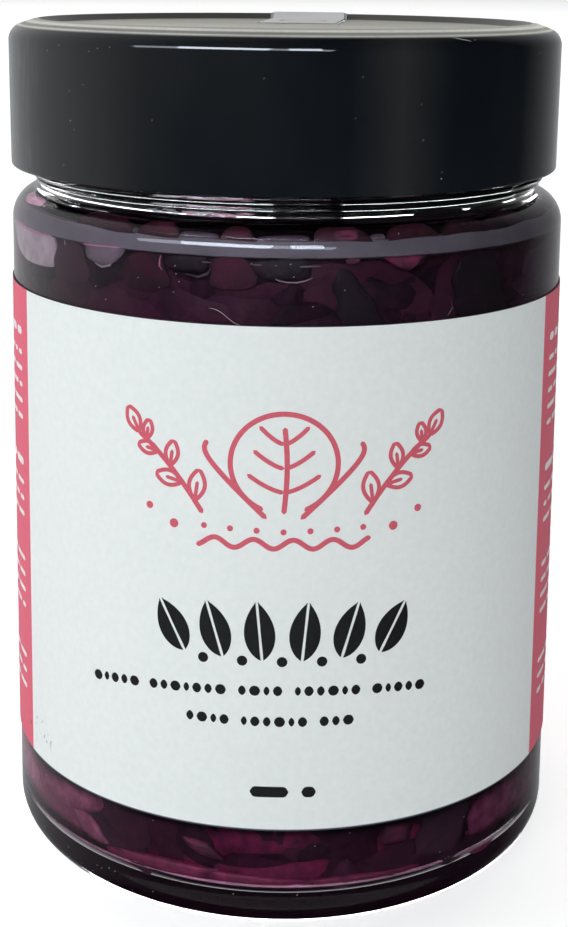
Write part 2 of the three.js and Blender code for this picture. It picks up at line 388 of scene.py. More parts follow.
def painted_reflection_ring():
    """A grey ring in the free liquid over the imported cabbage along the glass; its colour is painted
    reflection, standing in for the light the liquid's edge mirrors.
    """
    look = Look("painted_reflection_band", (0.09, 0.085, 0.095), 0.6, {"Specular IOR Level": 0.1})
    soft = look.clouds(0.25, 3)
    # Painted reflection: grey with a little blue.
    look.color(look.mix(soft, (0.096, 0.093, 0.103), (0.124, 0.12, 0.132)))
    foot, top = PRESSED_TOP, BRINE_TOP - 0.15
    profile = [
        (inner_radius(foot) - 1.6, foot - 0.6),
        (inner_radius(foot) - 0.5, foot - 0.2),
        *[(inner_radius(z) - 0.1, z) for z in (foot + (top - foot) * k / 8 for k in range(9))],
        (inner_radius(top) - 0.5, top),
        (inner_radius(top) - 1.2, top - 0.5),
        (inner_radius(foot) - 1.6, foot + 0.2),
    ]
    turned("painted_reflection_band", profile, look, closed=True)


def inner_radius(z):
    """The inside of the glass at a height, read off its profile."""
    for (r, high), (s, low) in zip(INSIDE, INSIDE[1:]):
        if low <= z <= high:
            return r + (s - r) * (high - z) / max(high - low, 1e-6)
    return MOUTH_R if z > FLOOR_Z + FLOOR_DOME else INNER_R - FLOOR_CORNER


def cabbage_look(name, dark, bright, mottle):
    """Wet cabbage: every shred has its own share of the two colours, with soft mottling along it."""
    look = Look(name, dark, 0.5, {"Specular IOR Level": 0.12})
    own = look.node("Attribute", output="Fac", attribute_name="shade")
    soft = look.band(look.noise(0.55, 3), 0.35, 0.7)
    share = look.maths("ADD", own, look.times(look.less(soft, 0.5), mottle))
    look.color(look.mix(look.node("Clamp", {"Value": share}), dark, bright))
    look.bump(look.noise(1.6, 4), 0.12, 0.5)
    return look


def tube_faces(first, rings, corners):
    """Faces round a row of rings, whose points start at first, with both ends closed."""
    last = first + (rings - 1) * corners
    faces = [tuple(range(first, first + corners)), tuple(range(last, last + corners))]
    for low in range(first, last, corners):
        high = low + corners
        for k in range(corners):
            n = (k + 1) % corners
            faces.append((low + k, low + n, high + n, high + k))
    return faces


def sheet_faces(columns, rows, first):
    """Faces of a closed sheet whose points, from first on, are an outer grid and then an inner one."""
    row = columns + 1
    back = row * (rows + 1)
    faces = []
    for j in range(rows):
        for i in range(columns):
            a = first + j * row + i
            b = a + back
            faces.append((a, a + 1, a + row + 1, a + row))
            faces.append((b, b + row, b + row + 1, b + 1))
    rim = list(range(columns)) + [columns + j * row for j in range(rows)]
    rim += [rows * row + i for i in range(columns, 0, -1)] + [j * row for j in range(rows, 0, -1)]
    for i, j in zip(rim, rim[1:] + rim[:1]):
        a, b = first + i, first + j
        faces.append((a, a + back, b + back, b))
    return faces


class Strips:
    """Many shreds gathered into one mesh, each with its own shade."""

    def __init__(self):
        self.places, self.faces, self.shades = [], [], []

    def add(self, path, outward, widths, thick, shade):
        """One shred along path; outward gives its flat side's direction at each point."""
        first = len(self.places)
        count = len(path)
        for i, point in enumerate(path):
            along = (path[min(i + 1, count - 1)] - path[max(i - 1, 0)]).normalized()
            flat = (outward[i] - along * outward[i].dot(along)).normalized()
            side = along.cross(flat)
            end = 1 - abs(2 * i / (count - 1) - 1) ** 6
            for k in range(SHRED_SIDES):
                a = 2 * pi * (k + 0.5) / SHRED_SIDES
                c, s = cos(a), sin(a)
                across = copysign(abs(c) ** 0.7, c) * widths[i] / 2 * (0.35 + 0.65 * end)
                up = copysign(abs(s) ** 0.7, s) * thick / 2 * (0.5 + 0.5 * end)
                self.places.append(tuple(point + side * across + flat * up))
                self.shades.append(shade)
        self.faces += tube_faces(first, count, SHRED_SIDES)

    def leaf(self, corners, thick, shade, fade, rounding=SOFT, fall=0, sink=0):
        """A leaf between corners (azimuth, height), sink mm behind the glass, its rim bent back by fade.

        rounding pulls each corner in, and fall takes the shade down towards the ends and the foot.
        """
        first = len(self.places)
        across, down = 16, 8
        middle = [sum(corner[k] for corner in corners) / 4 for k in (0, 1)]
        for side in (0, 1):
            for j in range(down + 1):
                for i in range(across + 1):
                    s, t = i / across, j / down
                    near = ((1 - s) * (1 - t), s * (1 - t), s * t, (1 - s) * t)
                    spot = [sum(n * corner[k] for n, corner in zip(near, corners)) for k in (0, 1)]
                    pull = sum(r * n ** 3 for r, n in zip(rounding, near))
                    rim = max(abs(2 * s - 1) ** 4, abs(2 * t - 1) ** 4)
                    azimuth, z = (a + (m - a) * pull for a, m in zip(spot, middle))
                    azimuth += 0.4 * sin(2.1 * z + shade * 9) * rim
                    z += 0.1 * sin(0.33 * azimuth + shade * 7) * rim
                    r = inner_radius(z) - SHRED_CLEAR - sink - fade * rim - side * thick
                    a = radians(azimuth)
                    self.places.append((r * sin(a), -r * cos(a), z))
                    self.shades.append(shade * (1 - fall * max(abs(2 * s - 1) ** 3, t * t)))
        self.faces += sheet_faces(across, down, first)

    def along(self, spots, radius, width, thick, shade, shift_x=0):
        """A thin shred through spots (azimuth, height), radius(height) away from the axis."""
        path, outward = [], []
        for azimuth, z in spots:
            out = facing(radians(azimuth))
            path.append(out * radius(z) + Vector((shift_x, 0, z)))
            outward.append(out)
        self.add(path, outward, [width] * len(path), thick, shade)

    def on_wall(self, spots, width, thick, shade):
        """A thin shred along the inside of the glass."""
        self.along(spots, lambda z: inner_radius(z) - SHRED_CLEAR - thick / 2, width, thick, shade)

    def piece(self, name, look):
        made = piece_from(name, self.places, self.faces, look, crease=60)
        shade = made.data.attributes.new("shade", "FLOAT", "POINT")
        shade.data.foreach_set("value", self.shades)


def wall_shred(strips, draw, azimuth, height, tilt, length, width, depth, thick, shade):
    """A shred that lies along the glass, depth mm inside it, with a gentle bow and waves."""
    steps = 14
    bow = draw.uniform(-0.1, 0.1) * length
    waves = draw.uniform(0.8, 2.2)
    phase = draw.uniform(0, 6.28)
    lean = radians(tilt)
    ceiling = PRESSED_TOP - 0.2 - width * 0.55
    path, outward, widths = [], [], []
    for i in range(steps + 1):
        t = 2 * i / steps - 1
        along = length / 2 * t
        across = bow * (t * t - 0.4) + 0.3 * sin(waves * t * 2 + phase)
        z = height + along * sin(lean) + across * cos(lean)
        z = min(max(z, FLOOR_Z + 1.5 + width * 0.3), ceiling)
        inward = depth + 0.2 * (1 + sin(2.3 * waves * t + 2 * phase))
        r = inner_radius(z) - SHRED_CLEAR - thick / 2 - inward
        turn = radians(azimuth) + (along * cos(lean) - across * sin(lean)) / INNER_R
        out = facing(turn)
        path.append(out * r + Vector((0, 0, z)))
        outward.append(out)
        widths.append(width * (1 + 0.12 * sin(3 * t + phase)))
    strips.add(path, outward, widths, thick, shade)


def top_shred(strips, draw):
    """A shred that lies on top of the heap, bowed in plan."""
    vary = draw.uniform
    place = facing(vary(0, 6.28)) * (CROWN_R * sqrt(draw.random()))
    height = CROWN_TOP + vary(-0.2, 0.9)
    heading = vary(0, 3.14)
    length, width, shade = vary(9, 22), vary(1.6, 3.4), draw.random()
    steps = 12
    bow = vary(-0.16, 0.16) * length
    ahead = Vector((cos(heading), sin(heading), 0))
    side = Vector((-ahead.y, ahead.x, 0))
    limit = CROWN_R + 1.2
    path = []
    for i in range(steps + 1):
        t = 2 * i / steps - 1
        point = place + ahead * (length / 2 * t) + side * (bow * (t * t - 0.4))
        if point.length > limit:
            point *= limit / point.length
        path.append(point + Vector((0, 0, height + 0.5 * cos(1.5 * t))))
    outward = [Vector((0.15 * sin(3 * i / steps), 0.1, 1)) for i in range(steps + 1)]
    strips.add(path, outward, [width] * (steps + 1), 0.9, shade)


def core():
    """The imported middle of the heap, dark and uneven, behind the shreds."""
    look = cabbage_look("core", (0.01, 0.003, 0.008), (0.04, 0.008, 0.022), 1)
    corner, gap = FLOOR_CORNER, SHRED_CLEAR
    profile = [
        (0, FLOOR_Z + FLOOR_DOME + gap),
        (INNER_R * 0.5, FLOOR_Z + FLOOR_DOME * 0.75 + gap),
        *arc(INNER_R - corner, FLOOR_Z + corner, corner - gap, corner - gap, -90, -35, 9),
        (CORE_R, FLOOR_Z + corner * 0.9),
        *[(CORE_R, FLOOR_Z + 5 + k * 1.5) for k in range(49)],
        (CORE_R - 0.8, CORE_TOP),
        (CROWN_R + 0.8, CORE_TOP + 0.4),
        (CROWN_R, CROWN_TOP - 0.5),
        *[(r, CROWN_TOP) for r in (27, 24, 20, 16, 12, 8, 4)],
        (0, CROWN_TOP),
    ]
    heap = turned("cabbage_core", profile, look, segments=180)
    for vertex in heap.data.vertices:
        lump = noise.noise(vertex.co / MM * 0.28) * min(max(vertex.co.z / MM - 8, 0) / 4, 1)
        vertex.co.x *= 1 + 0.018 * lump
        vertex.co.y *= 1 + 0.018 * lump
        vertex.co.z += 0.45 * lump * MM
    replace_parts(heap, "cabbage")


def block(left, right, low, high):
    """The corners of a straight leaf."""
    return [(left, high), (right, high), (right, low), (left, low)]


def pressed_leaves(kinds):
    """The pieces that show in front, pressed against the glass above and below the label."""
    top = PRESSED_TOP
    leaves = (
        ("pale", [(-80, top), (-52.6, top), (-53.2, 79.6), (-70, 78.6)], 0.5, 0.55, 0.1, PALE_ENDS),
        ("pink", [(-80, top), (-53, top), (-53, top - 0.3), (-79, top - 0.3)], 0.5, 0, 0.02),
        ("violet", [(-44, top), (-33, top), (-34.2, 80.7), (-42.6, 80.9)], 0.5, 1, 0.2, HALF_ROUND, 0.3),
        ("pink", [(-44, top), (-33, top), (-33.2, top - 0.15), (-43.7, top - 0.15)], 0.4, 0, 0.02),
        ("red", [(-33, top), (-24, top), (-22, 78.6), (-34, 78.6)], 0.2, 0.35, 0.05, SOFT, 1, 0.25),
        ("maroon", [(-53, top), (-44, top), (-41, 78), (-55, 78)], 0.2, 0.4, 0.05, SOFT, 1, 0.25),
        ("dark", [(-24.4, top), (-14, top), (-14.8, 81.3), (-23.6, 81.2)], 0.6, 0.1, 0.3),
        ("red", [(-14.8, top), (-6.2, top), (-5, 79.4), (-15.6, 79.4)], 0.2, 0.8, 0.05, SOFT, 1, 0.25),
        ("dark", [(-7.1, top), (6.3, top), (4.5, 80.4), (-5.4, 80.5)], 0.6, 0.15, 0.3),
        ("magenta", [(10.6, top), (14, top), (13.4, 82.7), (11, 82.8)], 0.3, 0.3, 0, SOFT, 0.8),
        ("magenta", [(18.5, top), (28.5, top), (26, 81.7), (21.5, 81.6)], 0.3, 0.5, 0.3, HALF_ROUND, 1),
        ("dark", [(7, 82.6), (13, 82.8), (20, 75), (11, 75)], 0.4, 0, 0.2, (0.5, 0.4, 0.1, 0.1), 0, 0.1),
        ("dark", [(33, 83.2), (47, 83.2), (50, 75), (35, 75)], 0.4, 0, 0.2, (0.3, 0.3, 0.1, 0.1), 0, 0.1),
        ("violet", block(-86, -54, 75, 79.6), 0.3, 0.1, 0.5, SOFT, 0, 0.6),
        ("violet", block(51, 86, 75, 83.2), 0.3, 0, 0.5, SOFT, 0, 0.3),
        ("rose", [(-84, 13.5), (-66, 13.8), (-52, 6.6), (-84, 6.4)], 0.4, 0.5, 0.8, SOFT, 0.4),
        ("rose", [(-70, 11.4), (-37, 13.8), (-37, 10.6), (-54, 7.4)], 0.4, 0.18, 0.9, SOFT, 0.6),
        ("rose", [(-51, 10), (-44, 10.2), (-35.5, 6.3), (-44, 6.1)], 0.4, 0.14, 0.6, SOFT, 0.7),
        ("magenta", [(-39, 7.4), (-12, 7.5), (-12, 5.5), (-39, 5.5)], 0.4, 0.5, 0.4, ONE_ROUND, 0.2),
        ("magenta", [(-16, 7.1), (5, 6.7), (5, 5.5), (-16, 5.5)], 0.4, 0.7, 0.3, SOFT, 0.2),
        ("magenta", block(2, 31, 5.5, 6.5), 0.4, 0.45, 0.3, SOFT, 0.2),
        ("magenta", [(-22, 11.2), (-14, 10.9), (-10, 8.2), (-17, 8.7)], 0.4, 0.3, 0.7, SOFT, 1),
        ("magenta", [(20.5, 13), (29, 12.8), (28, 9.3), (20, 9.3)], 0.4, 0.2, 0.9, SOFT, 1),
        ("rose", [(41, 13.4), (74, 13.4), (76, 7), (39, 6.4)], 0.4, 0.3, 0.8, SOFT, 0.6),
        ("dark", [(30.2, 13), (43.4, 12.8), (38.9, 6.4), (27.6, 7.6)], 0.4, 1, 0.1, (0.1,) * 4),
        ("rose", [(-84, 13), (-41, 12.4), (-38, 6.2), (-84, 6.2)], 0.3, 0, 0.5, SOFT, 0, 0.15),
        ("rose", [(44, 12.4), (82, 13), (82, 6.2), (38, 6.2)], 0.3, 0, 0.5, SOFT, 0, 0.25),
    )
    for kind, *shape in leaves:
        kinds[kind].leaf(*shape)
    # arch is a pale line along a piece's curved lower edge: a painted wet glint.
    arch = [(-2.4, 81.2), (-1.4, 80.85), (0.2, 80.65), (2, 80.65), (3.6, 80.85), (5, 81.2)]
    lines = (
        ("pale", [(-41.5, 82.3), (-40.2, 81.8), (-38.2, 81.7), (-36.4, 82.1)], 0.25, 0.3, 0.3),
        ("pale", [(-40.4, 81.2), (-38.6, 80.9), (-36.6, 81.2), (-35.6, 82)], 0.3, 0.3, 0.1),
        ("pink", [(-24.6, 83.2), (-24.9, 82.6), (-25, 81.9), (-24.4, 81.4)], 0.18, 0.3, 0),
        ("violet", [(-21.6, 82.9), (-18, 82.75), (-14.4, 82.7)], 0.28, 0.3, 1),
        ("violet", [(-19.5, 81.2), (-17, 80.9), (-15.2, 81.3), (-14.4, 82)], 0.3, 0.3, 0.3),
        ("violet", [(-7, 82.65), (-2, 82.6), (3, 82.5), (6.4, 82.55)], 0.3, 0.3, 1),
        ("pale", arch, 0.18, 0.3, 0),
        # The two pink rows along the floor corner are painted light: the bright line seen at the corner.
        ("pink", [(-76 + 4 * k, 5.52) for k in range(14)], 0.2, 0.25, 0.5),
        ("pink", [(-26 + 4 * k, 5.54) for k in range(22)], 0.34, 0.25, 0.9),
    )
    for kind, *shape in lines:
        kinds[kind].on_wall(*shape)


def crown_pieces(kinds):
    """Wet pieces that stand out of the liquid behind the shoulder, over its sharp upper edge."""
    foot = BRINE_TOP - 0.2
    draw = random.Random(11)
    vary = draw.uniform
    pieces = [
        (-47, -31, 0.5), (-30, -20.6, 0.9), (-12.5, -5.5, 0.8), (5, 16.5, 0.7),
        (19.5, 31, 0.75), (31.5, 44, 0.3), (43, 57, 0.2), (57, 70, 0.3),
    ]
    start = 72
    while start < 285:
        wide = vary(8, 15)
        pieces.append((start, start + wide, vary(0.2, 0.9)))
        start += wide + vary(-1, 7)
    for left, right, shade in pieces:
        inset = (right - left) * vary(0.05, 0.15)
        high = foot + vary(1.1, 1.22)
        corners = [(left + inset, high), (right - inset, high), (right, foot), (left, foot)]
        kinds["wine"].leaf(corners, 0.5, shade, 0.06, (0.4, 0.4, 0, 0), 0.3)
    kinds["magenta"].leaf([(8.5, 86.1), (13.5, 86.1), (14.5, 85.2), (9.5, 85.2)], 0.7, 0.2, 0, fall=1)
    for left, right in ((-20.8, -12.4), (-5.6, 5.1), (16.4, 19.6), (-31.2, -29.8)):
        kinds["violet"].leaf(block(left, right, foot, 85.45), 0.4, 0.15, 0.1, fall=0.5)
    kinds["pink"].leaf([(-78, 85.9), (-63, 85.8), (-62, 85.3), (-75, 85.25)], 0.4, 0.5, 0.05, fall=0.5)
    for place in ((12, 30, 86.3, 87.5), (28, 44, 86.2, 88.1), (42, 62, 86.2, 87.9)):
        kinds["top"].leaf(block(*place), 0.4, 0.5, 0, (0.3, 0.3, 0, 0))
    for k in range(34):
        share = k / 33
        middle, z = -30 + 21 * share + vary(-1, 1), vary(87.1, 88)
        wide = vary(0.8, 2.2)
        spots = [(middle + wide * t, z + 0.06 * sin(5 * t + k)) for t in (-1, -0.5, 0, 0.5, 1)]
        kind = "pink" if draw.random() < share else "foam"
        kinds[kind].on_wall(spots, vary(0.15, 0.4), 0.2, vary(0.3, 1))


def cabbage():
    """Shreds against the glass above and below the label, in its gap behind and on top of the heap."""
    draw = random.Random(7)
    vary = draw.uniform
    core()
    colors = {
        "dark": ((0.009, 0.005, 0.009), (0.04, 0.014, 0.028)),
        "maroon": ((0.03, 0.013, 0.021), (0.068, 0.022, 0.04)),
        "red": ((0.022, 0.009, 0.014), (0.058, 0.008, 0.02)),
        "magenta": ((0.05, 0.012, 0.026), (0.24, 0.032, 0.09)),
        "rose": ((0.14, 0.035, 0.07), (0.46, 0.13, 0.24)),
        "pale": ((0.23, 0.185, 0.205), (0.42, 0.365, 0.39)),
        "pink": ((0.34, 0.13, 0.22), (0.55, 0.3, 0.4)),
        "violet": ((0.05, 0.034, 0.048), (0.13, 0.105, 0.125)),
        "foam": ((0.3, 0.27, 0.3), (0.85, 0.82, 0.84)),
        "wine": ((0.005, 0.001, 0.003), (0.036, 0.003, 0.01)),
        # top is near black, darker than the cabbage is: painted shade under the lid.
        "top": ((0.003, 0.001, 0.002), (0.01, 0.003, 0.006)),
    }
    kinds = {name: Strips() for name in colors}
    upper = ["dark"] * 5 + ["maroon"] * 6
    lower = ["dark"] * 3 + ["maroon"] * 6 + ["magenta"] * 2
    pressed_leaves(kinds)
    crown_pieces(kinds)
    for names, low, high in ((lower, 6.4, 13.5), (upper, 75, 82.5)):
        for k in range(WALL_SHREDS):
            wall_shred(
                kinds[draw.choice(names)], draw, 360 * (k + vary(-0.4, 0.4)) / WALL_SHREDS,
                vary(low, high), draw.gauss(0, 30), vary(12, 30), vary(2.4, 5.4),
                0.3 + min(draw.expovariate(2.2), 1), vary(0.45, 0.6), vary(0.2, 0.7),
            )
    for k in range(GAP_SHREDS):
        wall_shred(
            kinds[draw.choice(upper)], draw, 180 + vary(-8, 8), 15 + k, vary(-60, 60),
            vary(9, 20), vary(1.6, 3.6), vary(0.2, 0.9), vary(0.6, 0.9),
            draw.random(),
        )
    for _ in range(TOP_SHREDS):
        top_shred(kinds["top"], draw)
    for name, (dark, bright) in colors.items():
        kinds[name].piece("shreds_" + name, cabbage_look("shred_" + name, dark, bright, 0.6))


def lid_look():
    """Glossy black paint, dusty on its panel and crest, scuffed at the left, with fine specks; painted
    highlight lines on the crest, and painted reflections that lighten the left and an upright band right of
    the middle.
    """
    paint, film = (0.003, 0.005, 0.008), (0.54, 0.53, 0.475)
    fine_dust = {"Sheen Roughness": 0.5, "Sheen Tint": (1, 0.98, 0.9, 1)}
    look = Look("lid", paint, 0.04, {"Specular IOR Level": 0.55, **fine_dust})
    upward = look.node("SeparateXYZ", {0: look.node("TexCoord", output="Normal")}, output=2)
    patchy = look.times(look.clouds(0.12, 4, 0.8), look.clouds(1.8, 3, 0.85))
    settled = look.times(look.band(upward, 0.8, 0.93), patchy)
    r = look.from_axis(LID_SHIFT_X)
    outside = look.band(r, CREST_OUT - 0.6, CREST_OUT - 0.3)
    # edge: two bright lines on the crest, painted highlights.
    edge = look.times(outside, look.maths("MAXIMUM", look.ring(0.26, 0.16), look.ring(0.8, 0.12)))
    # Half the dust on a ring between the two crest lines.
    thin_dust_ring = look.times(outside, look.ring(0.54, 0.13))
    settled = look.times(settled, look.band(thin_dust_ring, 0, 1, 1, 0.5))
    streaks = look.band(look.noise(1, 5, look.stretched(1.3, 1.3, 0.16)), 0.52, 0.62)
    # Scuffs and smudges, two painted reflections, and a lighter ring between crest and panel.
    smudges_and_reflections = (
        look.times(streaks, look.times(look.band(look.axis("X"), -30, -36), 0.16)),
        look.times(look.band(look.noise(0.07, 3, look.stretched(1, 1, 0.5)), 0.4, 0.8), 0.012),
        # Painted reflection: lighter towards the left.
        look.times(look.band(look.axis("X"), 4, -34), 0.022),
        # Painted reflection: a soft upright band right of the middle.
        look.times(look.band(look.apart(look.axis("X"), 13), 6, 0), 0.03),
        look.band(look.apart(r, (CREST_R + PANEL_R) / 2), 0.6, 0.35, 0, 0.14),
    )
    total = settled
    for part in smudges_and_reflections:
        total = look.maths("ADD", total, part)
    dust = look.node("Clamp", {"Value": total})
    # Dust colour, and the near white of the painted highlight lines on the crest.
    dust_and_highlight_color = look.mix(edge, look.mix(settled, film, (0.2, 0.196, 0.175)), (0.86, 0.85, 0.8))
    look.color(look.mix(look.specks(0.22, 0.02, 0.8), look.mix(dust, paint, dust_and_highlight_color), (0.75, 0.76, 0.76)))
    look.feed("Roughness", look.band(dust, 0, 0.4, 0.04, 0.75))
    look.feed("Sheen Weight", settled)
    return look


def lid_side(inset, steps):
    """The outside of the lid from skirt to middle, moved in by inset for its inside."""
    top = LID_TOP - inset
    panel = top - PANEL_DEPTH
    fillet = 0.35
    return [
        *arc(LID_R - LID_EDGE_R, LID_EDGE_Z, LID_EDGE_R - inset, LID_EDGE_R - inset, 0, LID_EDGE_TURN, steps),
        (CREST_OUT, top - CREST_RISE),
        (CREST_R, top),
        (CREST_R - fillet, top - fillet * 0.6),
        (PANEL_R + fillet * 0.5, panel + fillet * 0.5),
        (PANEL_R - fillet * 0.6, panel),
        (0, panel),
    ]


def lid():
    hem_r = LID_R - LID_TAPER
    profile = [
        (0, LID_TOP - LID_SHEET - PANEL_DEPTH),
        *reversed(lid_side(LID_SHEET, 8)[:-1]),
        (hem_r - LID_SHEET, LID_BOTTOM + HEM * 1.7),
        (hem_r - HEM, LID_BOTTOM + HEM * 1.1),
        *arc(hem_r - HEM / 2, LID_BOTTOM + HEM / 2, HEM / 2, HEM / 2, -180, 0, 12),
        *lid_side(0, 16),
    ]
    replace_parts(turned("lid_shell", profile, lid_look(), shift_x=LID_SHIFT_X), "lid")


def label_look():
    look = Look("label_paper", (0.82, 0.86, 0.86), 0.55)
    apart = look.maths("ABSOLUTE", look.azimuth())
    side = look.band(apart, SIDE_PANEL_FROM - 0.04, SIDE_PANEL_FROM + 0.04)
    fibre = look.clouds(1.2, 5)
    white = look.mix(fibre, (0.75, 0.8, 0.795), (0.79, 0.835, 0.83))
    coral = look.mix(fibre, (0.75, 0.105, 0.175), (0.785, 0.118, 0.188))
    printed = look.mix(side, white, coral)
    # A thin dark bluish band at the sheet's foot.
    foot = look.band(look.axis("Z"), LABEL_BOTTOM + 0.05, LABEL_BOTTOM - 0.12)
    dirt = look.dirt((-59.5, 17.5), (7.5, 2.2), 0.62)
    dirty = look.mix(dirt, printed, (0.1, 0.1, 0.1))
    dark_foot_color = look.mix(foot, dirty, (0.035, 0.045, 0.075))
    # A thin dark line along the top edge: painted shadow in the gap above the label.
    edge = look.band(look.axis("Z"), LABEL_TOP - 0.09, LABEL_TOP - 0.05)
    look.color(look.mix(edge, dark_foot_color, (0.01, 0.01, 0.012)))
    look.bump(look.noise(3, 4), 0.02, 0.4)
    return look


def label():
    """The wrap sheet, open behind, with a thin dark bluish margin at its foot."""
    inner = GLASS_R + PAPER_GAP
    outer = LABEL_R - INK
    foot = LABEL_BOTTOM - LABEL_MARGIN
    front = ((outer - 0.1, foot), (outer, LABEL_BOTTOM), (outer, LABEL_TOP))
    section = ((inner, foot), *front, (inner, LABEL_TOP))
    columns = 232
    places = []
    for k in range(columns + 1):
        a = radians(90 + LABEL_OPEN / 2 + (360 - LABEL_OPEN) * k / columns)
        places += [(r * cos(a), r * sin(a), z) for r, z in section]
    faces = tube_faces(0, columns + 1, len(section))
    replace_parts(piece_from("wrap_label", places, faces, label_look()), "label")


def leaning(u, z, lean):
    """Gives a function for the place that is up and off to the side from (u, z) on a leaning axis."""
    s, c = sin(radians(lean)), cos(radians(lean))
    return lambda up, off: (u + s * up + c * off, z + c * up - s * off)


class Ink:
    """Print on the label: strokes in millimetres along the sheet from its middle and in height."""

    def __init__(self):
        self.places, self.faces = [], []

    def stroke(self, path, widths):
        """A stroke along path, as wide as widths says at each point."""
        first = len(self.places)
        last = len(path) - 1
        under = LABEL_R - INK * 1.5
        for i, (u, z) in enumerate(path):
            here, there = path[max(i - 1, 0)], path[min(i + 1, last)]
            du, dz = there[0] - here[0], there[1] - here[1]
            size = hypot(du, dz)
            su, sz = -dz / size * widths[i] / 2, du / size * widths[i] / 2
            for r, way in ((LABEL_R, -1), (LABEL_R, 1), (under, 1), (under, -1)):
                a = (u + way * su) / LABEL_R
                self.places.append((r * sin(a), -r * cos(a), z + way * sz))
        self.faces += tube_faces(first, last + 1, 4)

    def line(self, path, width):
        """An even stroke with round ends."""
        lengths = [0]
        for (u, z), (v, y) in zip(path, path[1:]):
            lengths.append(lengths[-1] + hypot(v - u, y - z))
        widths = []
        for length in lengths:
            rest = min(length, lengths[-1] - length) / (width / 2)
            widths.append(width * sqrt(max(1 - max(1 - rest, 0) ** 2, 0.02)))
        self.stroke(path, widths)

    def curve(self, point, width, start=0, stop=1):
        """An even stroke along point(t) for t from start to stop, in steps of about 0.25 mm."""
        rough = [point(start + (stop - start) * i / 20) for i in range(21)]
        length = sum(dist(a, b) for a, b in zip(rough, rough[1:]))
        count = max(8, round(length / 0.25))
        self.line([point(start + (stop - start) * i / count) for i in range(count + 1)], width)

    def bar(self, u, z, length, width):
        """A rounded level bar from u to the right."""
        self.curve(lambda t: (u + t * length, z), width)

    def dot(self, u, z, size):
        path, widths = [], []
        for i in range(13):
            a = pi * i / 12
            path.append((u - size / 2 * cos(a), z))
            widths.append(max(size * sin(a), size * 0.05))
        self.stroke(path, widths)

    def blade(self, u, z, length, width, lean):
        """A filled leaf that stands on (u, z), in two halves with a bare vein between them."""
        cut = 0.3
        place = leaning(u, z, lean)
        for way in (-1, 1):
            path, widths = [], []
            for i in range(25):
                t = i / 24
                full = width / 2 * sin(pi * t ** 0.85) ** 0.8
                half = max(full - cut / 2, 0.03)
                path.append(place(length * t, way * (cut / 2 + half / 2)))
                widths.append(half)
            self.stroke(path, widths)

    def leaf_line(self, u, z, length, width, lean, weight):
        """An outlined leaf that stands on (u, z), with its vein."""
        place = leaning(u, z, lean)
        for way in (-1, 1):
            self.curve(lambda t: place(length * t, way * width / 2 * sin(pi * t) ** 0.9), weight)
        self.curve(lambda t: place(length * t, 0), weight * 0.9, -0.12, 0.62)

    def words(self, u, z, lengths, height, space, arch=0):
        """A row of short dashes grouped like words, from u to the right, with a slight arch."""
        for word in lengths:
            for k in range(word):
                long = (0.9, 1.3, 0.7, 1.1)[(k + word) % 4]
                self.bar(u, z - arch * u * u, long, height)
                u += long + 0.42
            u += space - 0.42


def ink_look(name, color, roughness):
    """Matt ink, a little uneven as print on uncoated paper is."""
    look = Look(name, color, roughness)
    thin = tuple(min(c * 1.12 + 0.006, 1) for c in color)
    look.color(look.mix(look.band(look.noise(2.2, 5), 0.35, 0.75), color, thin))
    return look


def cabbage_drawing(ink):
    """A line drawing on the label: a cabbage head between two leafy sprigs, over a waved line."""
    weight = 0.62
    middle = 59.6
    ink.curve(lambda t: (6.3 * sin(t), middle + 6 * cos(t)), weight, -2.75, 2.75)
    for way in (-1, 1):
        def outer_leaf(t):
            return (way * (2 + 7.4 * sin(1.9 * t)), middle - 6.6 + 9 * t + 1.4 * sin(3.1 * t))

        ink.curve(outer_leaf, weight)
        for k in range(3):
            low = middle - 3.4 + 2.9 * k
            reach = 4.3 - 0.7 * k
            ink.curve(lambda t: (way * reach * t, low + 2.1 * t ** 1.5), weight * 0.85)
    ink.curve(lambda t: (0.35 * sin(3 * t), middle - 6 + 10.4 * t), weight)
    for way in (-1, 1):
        def stem(t):
            return (way * (9.6 + 8.2 * t), 53.2 + 12.5 * t - 3.6 * t * t)

        ink.curve(stem, weight)
        for k in range(5):
            u, z = stem(0.12 + 0.19 * k)
            size = 3.9 - 0.35 * k
            ink.leaf_line(u, z, size, size * 0.5, way * (78 if k % 2 else -8), weight * 0.8)
        u, z = stem(1)
        ink.leaf_line(u, z, 3.4, 1.7, way * 28, weight * 0.8)
        ink.dot(way * 13.2, 51.6, 1.1)
        ink.dot(way * 16.4, 53.4, 0.9)
    ink.curve(lambda t: (t, 49.9 + 0.55 * sin(1.35 * t)), weight, -10.4, 10.4)
    for k in range(-3, 4):
        ink.dot(2.33 * 1.35 * k, 51.4 + 0.12 * abs(k), 0.72)


def dark_print(ink):
    """A bold row of leaves, two rows of dashes and a short one under them."""
    for k in range(6):
        place = k - 2.5
        ink.blade(place * 4.75, 35.4 + 0.25 * abs(place), 7.4 - 0.25 * abs(place), 3.7, 11 * place)
    for k in range(5):
        ink.dot((k - 2) * 4.75, 35.4, 1.25)
    ink.words(-25, 31.75, (5, 7, 4, 6, 5), 1.25, 1.5, 0.0026)
    ink.words(-11.6, 27.85, (4, 6, 3), 1.25, 1.5)
    ink.bar(-3.7, 18.9, 4.6, 1.35)
    ink.bar(2.5, 18.9, 1.7, 1.35)


